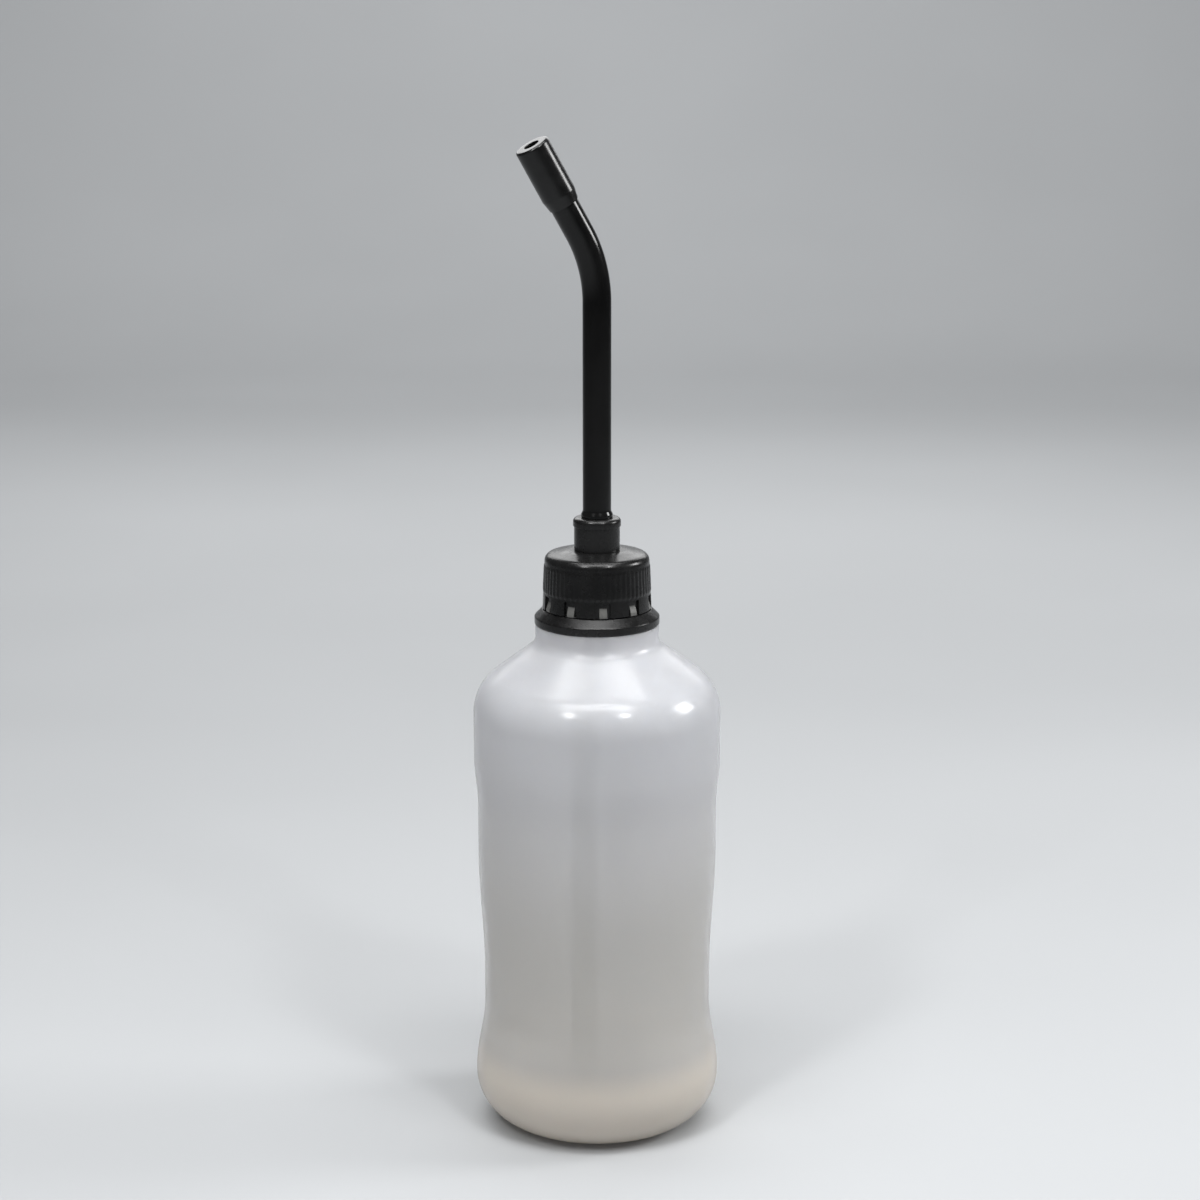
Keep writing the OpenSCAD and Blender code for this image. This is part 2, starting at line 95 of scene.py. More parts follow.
def rounding(before: np.ndarray, at: np.ndarray, after: np.ndarray, radius: float,
             turn: float) -> np.ndarray:
    """Arc that rounds a corner of an outline.

    The arc touches both arms at radius / tan(half the corner's angle) from the corner, and its
    centre lies on the line that halves the angle.

    Args:
        before: Point before the corner, as (radius, height).
        at: The corner.
        after: Point after the corner.
        radius: Radius of the arc.
        turn: Largest turn between two points of the arc, in degrees.

    Returns:
        The points of the arc, from the first arm to the second.
    """
    u = (before - at) / np.linalg.norm(before - at)
    v = (after - at) / np.linalg.norm(after - at)
    half = math.acos(float(np.clip(u @ v, -1, 1))) / 2
    middle = (u + v) / np.linalg.norm(u + v)
    centre = at + middle * radius / math.sin(half)
    first = at + u * radius / math.tan(half) - centre
    side = -1 if u[0] * v[1] - u[1] * v[0] > 0 else 1
    sweep = side * (math.pi - 2 * half)
    steps = max(1, math.ceil(abs(sweep) / math.radians(turn)))
    angle = math.atan2(first[1], first[0]) + sweep * np.arange(steps + 1) / steps
    return centre + radius * np.column_stack([np.cos(angle), np.sin(angle)])


def outline(corners: list[Corner], step: float, turn: float = 6.0,
            closed: bool = True) -> np.ndarray:
    """Outline with rounded corners and evenly filled straight stretches.

    Args:
        corners: Corners as (radius, height, radius of the rounding there).
        step: Largest distance between two points of a straight stretch.
        turn: Largest turn between two points of a rounding, in degrees.
        closed: True if the last corner joins the first.

    Returns:
        The points as rows of (radius, height).
    """
    flat = np.array([c[:2] for c in corners], float)
    count = len(corners)
    parts = []
    for i, (_, _, radius) in enumerate(corners):
        if radius > 0:
            parts.append(rounding(flat[i - 1], flat[i], flat[(i + 1) % count], radius, turn))
        else:
            parts.append(flat[i:i + 1])
    points = np.vstack(parts)
    ends = np.roll(points, -1, axis=0) if closed else points[1:]
    starts = points if closed else points[:-1]
    filled = []
    for start, end in zip(starts, ends):
        cuts = max(1, math.ceil(float(np.linalg.norm(end - start)) / step))
        filled.append(start + (end - start) * (np.arange(cuts) / cuts)[:, None])
    if not closed:
        filled.append(points[-1:])
    return np.vstack(filled)


def angles(count: int) -> np.ndarray:
    """Evenly spaced angles of a whole turn, in radians.

    Args:
        count: How many angles.

    Returns:
        The angles, without the last one that would close the turn.
    """
    return np.arange(count) * 2 * np.pi / count


def turned(radius: np.ndarray, height: np.ndarray, angle: np.ndarray) -> np.ndarray:
    """Surface turned about Z: x = r cos a, y = r sin a, z = h.

    Args:
        radius: Radius at each row, or at each row and angle.
        height: Height at each row.
        angle: The angles of the columns.

    Returns:
        A grid of points, rows by columns by 3.
    """
    radius = radius[:, None] if radius.ndim == 1 else radius
    radius = np.broadcast_to(radius, (len(height), len(angle)))
    height = np.broadcast_to(height[:, None], radius.shape)
    return np.stack([radius * np.cos(angle), radius * np.sin(angle), height], axis=-1)


@dataclass(frozen=True)
class Route:
    """A path in the XZ plane, made of straight stretches and arcs.

    The heading changes evenly with length over each stretch, and the place is the running sum of
    the heading.
    """

    x: float
    z: float
    heading: float
    stretches: tuple[tuple[float, float], ...]
    fine: float = 0.02

    @property
    def length(self) -> float:
        """Length of the whole path."""
        return sum(length for length, _ in self.stretches)

    def at(self, along: np.ndarray) -> tuple[np.ndarray, np.ndarray, np.ndarray]:
        """Places on the path, and the direction that lies across it in the XZ plane.

        Args:
            along: Distances from the start of the path.

        Returns:
            The x and z of each place, the x and z across, and the x and z along.
        """
        lengths = np.array([0.0] + [length for length, _ in self.stretches])
        turns = np.radians([0.0] + [turn for _, turn in self.stretches])
        knots, headings = np.cumsum(lengths), math.radians(self.heading) + np.cumsum(turns)
        table = np.linspace(0, knots[-1], int(knots[-1] / self.fine) + 2)
        heading = np.interp(table, knots, headings)
        step = table[1] - table[0]
        middle = (heading[1:] + heading[:-1]) / 2
        x = self.x - step * np.concatenate([[0], np.cumsum(np.sin(middle))])
        z = self.z + step * np.concatenate([[0], np.cumsum(np.cos(middle))])
        here = np.interp(along, knots, headings)
        ahead = np.stack([-np.sin(here), np.cos(here)])
        past = along - np.clip(along, 0, knots[-1])
        place = np.stack([np.interp(along, table, x), np.interp(along, table, z)]) + past * ahead
        return place, np.stack([np.cos(here), np.sin(here)]), ahead


def carried(points: np.ndarray, route: Route, angle: np.ndarray) -> np.ndarray:
    """Round profile carried along a path: place + r (cos a across + sin a sideways).

    Args:
        points: Outline as rows of (radius, distance along the path).
        route: The path.
        angle: The angles of the columns.

    Returns:
        A grid of points, rows by columns by 3.
    """
    radius, along = points[:, 0], points[:, 1]
    place, across, _ = route.at(along)
    out = radius[:, None] * np.cos(angle)
    x = place[0][:, None] + out * across[0][:, None]
    z = place[1][:, None] + out * across[1][:, None]
    return np.stack([x, radius[:, None] * np.sin(angle), z], axis=-1)


@dataclass(frozen=True)
class Thread:
    """One screw ridge on a round wall: where it starts, and the shape of its section."""

    start: float
    pitch: float
    turns: float
    depth: float
    base: float
    crest: float
    run_out: float = 0.13

    def rise(self, angle: np.ndarray, height: np.ndarray) -> np.ndarray:
        """How far the ridge stands out of the wall at each angle and height.

        The ridge's middle climbs by the pitch in one turn. Across it the section is a trapezium,
        and both its ends rise evenly from the wall.

        Args:
            angle: The angles of the columns.
            height: The heights of the rows.

        Returns:
            The rise, rows by columns.
        """
        best = np.zeros((len(height), len(angle)))
        for lap in range(math.ceil(self.turns)):
            wound = angle / (2 * np.pi) + lap
            middle = self.start + self.pitch * wound
            off = np.abs(height[:, None] - middle)
            section = np.clip((self.base / 2 - off) / ((self.base - self.crest) / 2), 0, 1)
            ends = np.clip(np.minimum(wound, self.turns - wound) / self.run_out, 0, 1)
            best = np.maximum(best, section * ends)
        return best * self.depth


def quads(rows: int, columns: int, loop: bool) -> np.ndarray:
    """Faces of a grid whose columns close on themselves.

    Args:
        rows: Number of rows.
        columns: Number of columns.
        loop: True if the last row joins the first.

    Returns:
        Four vertex numbers for each face.
    """
    low = np.arange(rows if loop else rows - 1)[:, None] * columns
    high = (low + columns) % (rows * columns)
    here, there = np.arange(columns), (np.arange(columns) + 1) % columns
    return np.stack([low + here, low + there, high + there, high + here], axis=-1).reshape(-1, 4)


def surface(name: str, grid: np.ndarray, poles: bool = False) -> bpy.types.Object:
    """Puts a grid of points into a mesh whose faces point outwards.

    Args:
        name: Name of the piece.
        grid: Points in millimetres, rows by columns by 3.
        poles: True if the first and last row each stand for one point on the axis, False if the
            last row joins the first.

    Returns:
        The new piece, at the origin.
    """
    rows, columns = grid.shape[:2]
    if poles:
        inner = grid[1:-1]
        points = np.vstack([inner.reshape(-1, 3), grid[0].mean(0), grid[-1].mean(0)])
        faces = quads(rows - 2, columns, False)
        here, there = np.arange(columns), (np.arange(columns) + 1) % columns
        last = (rows - 3) * columns
        first_fan = np.column_stack([there, here, np.full(columns, len(points) - 2)])
        last_fan = np.column_stack([last + here, last + there, np.full(columns, len(points) - 1)])
        fans = np.vstack([first_fan, last_fan])
    else:
        points, faces, fans = grid.reshape(-1, 3), quads(rows, columns, True), None
    corners = np.vstack([faces[:, [0, 1, 2]], faces[:, [0, 2, 3]]])
    corners = corners if fans is None else np.vstack([corners, fans])
    a, b, c = (points[corners[:, i]] for i in range(3))
    if np.einsum("ij,ij->", a, np.cross(b, c)) < 0:
        faces, fans = faces[:, ::-1], None if fans is None else fans[:, ::-1]
    mesh = bpy.data.meshes.new(name)
    mesh.from_pydata((points * MM).tolist(), [], faces.tolist() + (
        [] if fans is None else fans.tolist()))
    mesh.validate()
    mesh.shade_smooth()
    mesh.set_sharp_from_angle(angle=CREASE)
    piece = bpy.data.objects.new(name, mesh)
    bpy.context.scene.collection.objects.link(piece)
    return piece


# Finishes


class Recipe:
    """The node tree of one material, which ends in one Principled shader."""

    def __init__(self, name: str) -> None:
        """Starts an empty material with its shader, its output and its coordinates.

        Args:
            name: Name of the material.
        """
        self.material = bpy.data.materials.new(name)
        self.material.use_nodes = True
        self.tree = self.material.node_tree
        self.tree.nodes.clear()
        self.shader = self.add("ShaderNodeBsdfPrincipled")
        self.output = self.add("ShaderNodeOutputMaterial")
        self.coordinates = self.add("ShaderNodeTexCoord")
        self.join(self.shader.outputs["BSDF"], self.output.inputs["Surface"])

    def add(self, kind: str, **values: object) -> bpy.types.Node:
        """Adds a node and sets its unlinked sockets.

        Args:
            kind: Blender's name of the node type.
            **values: Socket values, with underscores for the spaces in the sockets' names.

        Returns:
            The node.
        """
        node = self.tree.nodes.new(kind)
        for name, value in values.items():
            node.inputs[name.replace("_", " ")].default_value = value
        return node

    def join(self, source: bpy.types.NodeSocket, target: bpy.types.NodeSocket) -> None:
        """Links one socket to another."""
        self.tree.links.new(source, target)

    def set(self, **values: object) -> None:
        """Sets plain values on the shader's own sockets."""
        for name, value in values.items():
            self.shader.inputs[name.replace("_", " ")].default_value = value

    def noise(self, scale: float, detail: float = 3.0,
              stretch: Colour = (1.0, 1.0, 1.0)) -> bpy.types.NodeSocket:
        """Noise over the piece's own coordinates.

        Args:
            scale: How many features there are in a metre.
            detail: How much finer detail is laid over it.
            stretch: How much denser the pattern is along X, Y and Z.

        Returns:
            The socket with the noise, from 0 to 1.
        """
        mapping = self.add("ShaderNodeMapping", Scale=stretch)
        self.join(self.coordinates.outputs["Object"], mapping.inputs["Vector"])
        texture = self.add("ShaderNodeTexNoise", Scale=scale, Detail=detail)
        self.join(mapping.outputs["Vector"], texture.inputs["Vector"])
        return texture.outputs["Fac"]

    def mapped(self, source: bpy.types.NodeSocket, low: float, high: float,
               start: float = 0.3, end: float = 0.7) -> bpy.types.NodeSocket:
        """Spreads a value smoothly over a new range.

        Args:
            source: Socket with the value.
            low: Result at start and below.
            high: Result at end and above.
            start: Value that gives low.
            end: Value that gives high.

        Returns:
            The socket with the result.
        """
        node = self.tree.nodes.new("ShaderNodeMapRange")
        node.interpolation_type = "SMOOTHSTEP"
        for name, value in (("From Min", start), ("From Max", end), ("To Min", low),
                            ("To Max", high)):
            node.inputs[name].default_value = value
        self.join(source, node.inputs["Value"])
        return node.outputs["Result"]

    def attribute(self, name: str) -> bpy.types.NodeSocket:
        """Socket with one of the mesh's own values."""
        node = self.add("ShaderNodeAttribute")
        node.attribute_name = name
        return node.outputs["Fac"]

    def height(self) -> bpy.types.NodeSocket:
        """Socket with the height above the floor, in metres."""
        split = self.add("ShaderNodeSeparateXYZ")
        self.join(self.coordinates.outputs["Object"], split.inputs["Vector"])
        return split.outputs["Z"]

    def mixed(self, amount: bpy.types.NodeSocket, first: object,
              second: object) -> bpy.types.NodeSocket:
        """Blend of two colours.

        Args:
            amount: Socket with the share of the second colour.
            first: The first colour, or a socket with it.
            second: The second colour, or a socket with it.

        Returns:
            The socket with the blend.
        """
        node = self.tree.nodes.new("ShaderNodeMix")
        node.data_type = "RGBA"
        self.join(amount, node.inputs["Factor"])
        for socket, value in ((node.inputs[6], first), (node.inputs[7], second)):
            if isinstance(value, bpy.types.NodeSocket):
                self.join(value, socket)
            else:
                socket.default_value = (*value, 1.0)
        return node.outputs[2]

    def bumped(self, layers: tuple[tuple[bpy.types.NodeSocket, float], ...]) -> None:
        """Lays bumps over the shader's normal.

        Args:
            layers: Pairs of a height socket and the height of the bump in millimetres.
        """
        normal = None
        for source, depth in layers:
            bump = self.add("ShaderNodeBump", Strength=1.0, Distance=depth * MM)
            self.join(source, bump.inputs["Height"])
            if normal is not None:
                self.join(normal, bump.inputs["Normal"])
            normal = bump.outputs["Normal"]
        self.join(normal, self.shader.inputs["Normal"])


@dataclass(frozen=True)
class MilkyPlastic:
    """Blown plastic without pigment: clouded and satin, cooler high up and warmer low down. The
    lower body is darker by painted shade, and the foot is paler by a painted glow and highlight.
    """

    name: str = "milky_plastic"
    # The lower colour is darker than the upper: painted shade on the lower body, over a warmer tone.
    upper: Colour = (0.62, 0.625, 0.66)
    lower: Colour = (0.535, 0.52, 0.495)
    # The foot colour is paler: a painted glow and painted highlight where light gathers in the foot.
    foot: Colour = (0.78, 0.69, 0.59)
    change: tuple[float, float] = (0.050, 0.135)
    foot_glow_change: tuple[float, float] = (0.027, 0.017)
    cloud: float = 28.0
    cloud_shade: Colour = (0.46, 0.45, 0.43)
    roughness: tuple[float, float] = (0.17, 0.23)
    grain: float = 0.006
    grain_scale: float = 1400.0
    alpha: float = 0.6
    scatter: float = 0.9
    reach: float = 10.0

    def material(self) -> bpy.types.Material:
        """Builds the material.

        Returns:
            The new material.
        """
        recipe = Recipe(self.name)
        # Darker towards the bottom, blended by height: painted shade on the lower body, with a
        # cooler tone high up.
        tone_and_shade = recipe.mapped(recipe.height(), 0.0, 1.0, *self.change)
        clouds = recipe.noise(self.cloud, 4.0, (1.0, 1.0, 0.5))
        tint = recipe.mixed(tone_and_shade, self.lower, self.upper)
        # Paler foot low down: painted glow and highlight.
        foot_glow = recipe.mapped(recipe.height(), 0.0, 1.0, *self.foot_glow_change)
        tint = recipe.mixed(foot_glow, tint, self.foot)
        dimmed = recipe.mixed(recipe.mapped(clouds, 0.0, 0.12), tint, self.cloud_shade)
        recipe.join(dimmed, recipe.shader.inputs["Base Color"])
        recipe.join(recipe.mapped(clouds, *self.roughness), recipe.shader.inputs["Roughness"])
        recipe.bumped(((recipe.noise(self.grain_scale, 2.0), self.grain),))
        recipe.set(IOR=1.5, Alpha=self.alpha, Subsurface_Weight=self.scatter,
                   Subsurface_Radius=(1.0, 0.95, 0.9), Subsurface_Scale=self.reach * MM)
        return recipe.material


@dataclass(frozen=True)
class ClearTube:
    """Extruded tube of clouded plastic, seen through the bottle's wall."""

    name: str = "tube_plastic"
    colour: Colour = (0.88, 0.87, 0.83)
    streak: Colour = (0.70, 0.68, 0.63)
    streak_scale: float = 900.0
    streak_depth: float = 0.02
    roughness: tuple[float, float] = (0.16, 0.24)

    def material(self) -> bpy.types.Material:
        """Builds the material.

        Returns:
            The new material.
        """
        recipe = Recipe(self.name)
        streaks = recipe.noise(self.streak_scale, 2.0, (1.0, 1.0, 0.02))
        tint = recipe.mixed(recipe.mapped(streaks, 0.0, 0.2), self.colour, self.streak)
        recipe.join(tint, recipe.shader.inputs["Base Color"])
        recipe.join(recipe.mapped(streaks, *self.roughness), recipe.shader.inputs["Roughness"])
        recipe.bumped(((streaks, self.streak_depth),))
        recipe.set(IOR=1.45, Transmission_Weight=0.85)
        return recipe.material


class Sheen(Enum):
    """How a black plastic shines: the range of its roughness."""

    SATIN = (0.22, 0.30)
    SOFT = (0.18, 0.26)
    GLOSS = (0.11, 0.17)


@dataclass(frozen=True)
class BlackPlastic:
    """Moulded or drawn black surface with a fine grain and faint handling marks."""

    TORN_GLINT: ClassVar[str] = "torn"
    PATCHES: ClassVar[float] = 90.0
    MARKS: ClassVar[float] = 420.0
    FINEST: ClassVar[float] = 2600.0
    name: str
    colour: Colour
    sheen: Sheen
    grain: float
    specular: float = 0.3
    stretch: Colour = (1.0, 1.0, 1.0)
    # Colour of the stubs: paler torn plastic, with a painted highlight for the light the stubs
    # catch.
    torn_glint_colour: Colour | None = None

    def material(self) -> bpy.types.Material:
        """Builds the material.

        Returns:
            The new material.
        """
        recipe = Recipe(self.name)
        patches = recipe.noise(self.PATCHES, 4.0, self.stretch)
        paler = tuple(1.9 * c + 0.002 for c in self.colour)
        tint = recipe.mixed(recipe.mapped(patches, 0.0, 1.0), self.colour, paler)
        # Paler stubs: torn plastic and a painted highlight.
        if self.torn_glint_colour:
            tint = recipe.mixed(recipe.attribute(self.TORN_GLINT), tint, self.torn_glint_colour)
        recipe.join(tint, recipe.shader.inputs["Base Color"])
        marks = recipe.noise(self.MARKS, 3.0, self.stretch)
        recipe.join(recipe.mapped(marks, *self.sheen.value), recipe.shader.inputs["Roughness"])
        recipe.bumped((
            (patches, self.grain * 2),
            (recipe.noise(self.FINEST, 2.0, self.stretch), self.grain)))
        recipe.set(IOR=1.5, Specular_IOR_Level=self.specular)
        return recipe.material


@dataclass(frozen=True)
class Plain:
    """Simple uneven surface for the small pieces that the cap hides."""

    name: str
    dark: Colour
    light: Colour
    roughness: tuple[float, float]
    metallic: float = 0.0

    def material(self) -> bpy.types.Material:
        """Builds the material.

        Returns:
            The new material.
        """
        recipe = Recipe(self.name)
        speckle = recipe.noise(1500.0, 3.0)
        tint = recipe.mixed(recipe.mapped(speckle, 0.0, 1.0), self.dark, self.light)
        recipe.join(tint, recipe.shader.inputs["Base Color"])
        recipe.join(recipe.mapped(speckle, *self.roughness), recipe.shader.inputs["Roughness"])
        recipe.bumped(((speckle, 0.01),))
        recipe.set(Metallic=self.metallic)
        return recipe.material


def dressed(piece: bpy.types.Object, material: bpy.types.Material, body: str, slot: str,
            *nodes: str) -> bpy.types.Object:
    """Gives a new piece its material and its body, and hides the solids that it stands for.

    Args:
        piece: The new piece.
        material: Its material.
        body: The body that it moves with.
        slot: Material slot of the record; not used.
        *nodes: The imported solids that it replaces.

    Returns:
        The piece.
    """
    piece.data.materials.append(material)
    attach(piece, body)
    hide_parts(*nodes)
    log.info("%s: %d faces, for %s", piece.name, len(piece.data.polygons), ", ".join(nodes))
    return piece


# The sub-assemblies


@dataclass(frozen=True)
class ScrewFit:
    """Sizes that the neck, the tamper ring and the cap share."""

    neck_r: float = 12.5
    bore_r: float = 10.8
    pitch: float = 4.2
    turns: float = 1.5
    depth: float = 1.1
    neck_crest: float = 0.9
    neck_flank: float = 0.9
    cap_crest: float = 0.7
    cap_flank: float = 0.65
    gap: float = 0.4
    bead_out: float = 1.4
    cap_wall: float = 1.75
    ring_step: float = 0.1
    fine_round: float = 0.2

    @property
    def cap_bore_r(self) -> float:
        """Radius of the cap's bore, clear of the neck's ridge."""
        return self.neck_r + self.depth + self.gap

    @property
    def cap_foot_r(self) -> float:
        """Outer radius of the cap at the foot of its skirt."""
        return self.cap_bore_r + self.cap_wall


@dataclass
class Bottle:
    """The blown bottle: round foot, waist, belly, shoulder band, cone and screw neck."""

    fit: ScrewFit
    widest: float = 36.0
    waist: float = 33.35
    belly: float = 34.95
    wall: float = 1.3
    foot_round: float = 14.8
    foot_blend: float = 22.2
    waist_len: float = 9.0
    belly_blend: float = 38.0
    body_h: float = 125.0
    step_blend: float = 15.0
    band_len: float = 13.0
    shoulder_round: float = 14.0
    shoulder_slope: float = 37.0
    stand_w: float = 2.8
    base_dome: float = 3.5
    root_r: float = 17.9
    root_round: float = 4.0
    lip_h: float = 1.1
    bead_h: float = 2.0
    edge: float = 0.5
    thread_margin: float = 0.8
    neck_rows: int = 64
    sides: int = 192
    finish: MilkyPlastic = field(default_factory=MilkyPlastic)

    def __post_init__(self) -> None:
        """Works out the levels that the outline needs."""
        self.belly_low = self.foot_round + self.foot_blend + self.waist_len
        self.step_low = self.body_h - self.band_len - self.step_blend
        self.half_turn = math.radians(90 - self.shoulder_slope) / 2
        slope = math.tan(math.radians(self.shoulder_slope))
        self.shoulder_z = self.body_h + self.shoulder_round * math.tan(self.half_turn)
        self.root_z = self.shoulder_z + (self.widest - self.root_r) * slope
        self.ledge_z = level("tamper_ring", top=False)
        self.neck_top = level("bottle", top=True)
        self.cone_slope = slope

    def blend(self, start: float, end: float, low: float, height: float) -> list[Corner]:
        """S-curved change of radius over a height, as outline corners without the first."""
        count = math.ceil(height)
        t = np.arange(1, count + 1) / count
        return [(float(r), low + height * float(s), 0.0) for r, s in zip(eased(start, end, t), t)]

    def side(self, inset: float) -> list[Corner]:
        """Side of the bottle from the foot up.

        Args:
            inset: How far the outline lies inside the outer face.

        Returns:
            The corners of the outline.
        """
        widest, waist, belly = (r - inset for r in (self.widest, self.waist, self.belly))
        return [
            (widest, inset, self.foot_round - inset),
            *self.blend(widest, waist, self.foot_round, self.foot_blend),
            (waist, self.belly_low, 0.0),
            *self.blend(waist, belly, self.belly_low, self.belly_blend),
            (belly, self.step_low, 0.0),
            *self.blend(belly, widest, self.step_low, self.step_blend),
            (widest, self.shoulder_z - inset * math.tan(self.half_turn),
             self.shoulder_round - inset)]

    def dome(self, lift: float) -> list[Corner]:
        """Hollow of the base, a shallow parabola from the middle to the standing ring."""
        stand_r = self.widest - self.foot_round - self.stand_w
        t = np.linspace(0, 1, 13)
        return [(float(stand_r * s), float(self.base_dome * (1 - s * s)) + lift, 0.0) for s in t]

    def neck(self) -> list[Corner]:
        """Root, ledge, bead, rim and bore of the neck, from the shoulder up and down again."""
        fit, edge = self.fit, self.edge
        bead_r, bead_z = fit.neck_r + fit.bead_out, self.ledge_z + self.lip_h + fit.gap
        inner_z = (self.shoulder_z - self.wall * math.tan(self.half_turn)
                   + (self.widest - self.wall - fit.bore_r) * self.cone_slope)
        return [
            (self.root_r, self.root_z, self.root_round),
            (self.root_r, self.ledge_z, edge),
            (fit.neck_r, self.ledge_z, 0.0),
            (fit.neck_r, bead_z, 0.0),
            (bead_r, bead_z, self.bead_h / 6),
            (bead_r, bead_z + self.bead_h / 2, self.bead_h / 6),
            (fit.neck_r, bead_z + self.bead_h, 0.0),
            (fit.neck_r, self.neck_top, edge),
            (fit.bore_r, self.neck_top, edge),
            (fit.bore_r, inner_z, edge)]

    def build(self) -> bpy.types.Object:
        """Builds the bottle with its thread and dresses it.

        Returns:
            The new piece.
        """
        fit = self.fit
        corners = [*self.dome(0.0), *self.side(0.0), *self.neck(), *self.side(self.wall)[::-1],
                   *self.dome(self.wall)[::-1]]
        points = outline(corners, step=1.4, turn=5.0, closed=False)
        base = fit.neck_crest + fit.neck_flank * fit.depth
        start = self.neck_top - self.thread_margin - base / 2 - fit.turns * fit.pitch
        low, high = start - base / 2, self.neck_top - self.edge
        on_neck = (abs(points[:, 0] - fit.neck_r) < SAME) & (points[:, 1] > low - 2)
        first, last = np.flatnonzero(on_neck)[[0, -1]]
        heights = np.linspace(low, high, self.neck_rows)
        wall = np.column_stack([np.full(len(heights), fit.neck_r), heights])
        keep = points[first:last + 1]
        points = np.vstack([points[:first], keep[keep[:, 1] < low - 0.1], wall,
                            points[last + 1:]])
        thread = Thread(start, fit.pitch, fit.turns, fit.depth, base, fit.neck_crest)
        angle = angles(self.sides)
        outside = np.abs(points[:, 0] - fit.neck_r) < SAME
        rise = thread.rise(angle, points[:, 1]) * outside[:, None]
        grid = turned(points[:, :1] + rise, points[:, 1], angle)
        piece = surface("bottle_body", grid, poles=True)
        return dressed(piece, self.finish.material(), "bottle", "bottle", "bottle")


@dataclass
class TamperRing:
    """Flared black ring that stays on the neck under the cap."""

    fit: ScrewFit
    rim_r: float = 18.1
    rim_h: float = 2.4
    rim_round: float = 0.6
    lip_h: float = 1.1
    sides: int = 192

    def build(self) -> bpy.types.Object:
        """Builds the ring and dresses it.

        Returns:
            The new piece.
        """
        fit = self.fit
        low, top = level("tamper_ring", top=False), level("tamper_ring", top=True)
        inner_r, lip_r = fit.neck_r + fit.bead_out + fit.gap, fit.neck_r + fit.gap
        points = outline([
            (lip_r, low, 0.0),
            (self.rim_r, low, self.rim_round),
            (self.rim_r, low + self.rim_h, 2 * fit.fine_round),
            (fit.cap_foot_r + fit.ring_step, top, fit.fine_round / 2),
            (inner_r, top, 0.0),
            (inner_r, low + self.lip_h, 0.0),
            (lip_r, low + self.lip_h, 0.0)], step=0.35, turn=9.0)
        piece = surface("tamper_band", turned(points[:, 0], points[:, 1], angles(self.sides)))
        finish = BlackPlastic("ring_plastic", (0.004, 0.004, 0.004), Sheen.SATIN, 0.002)
        return dressed(piece, finish.material(), "bottle", "ring", "tamper_ring")


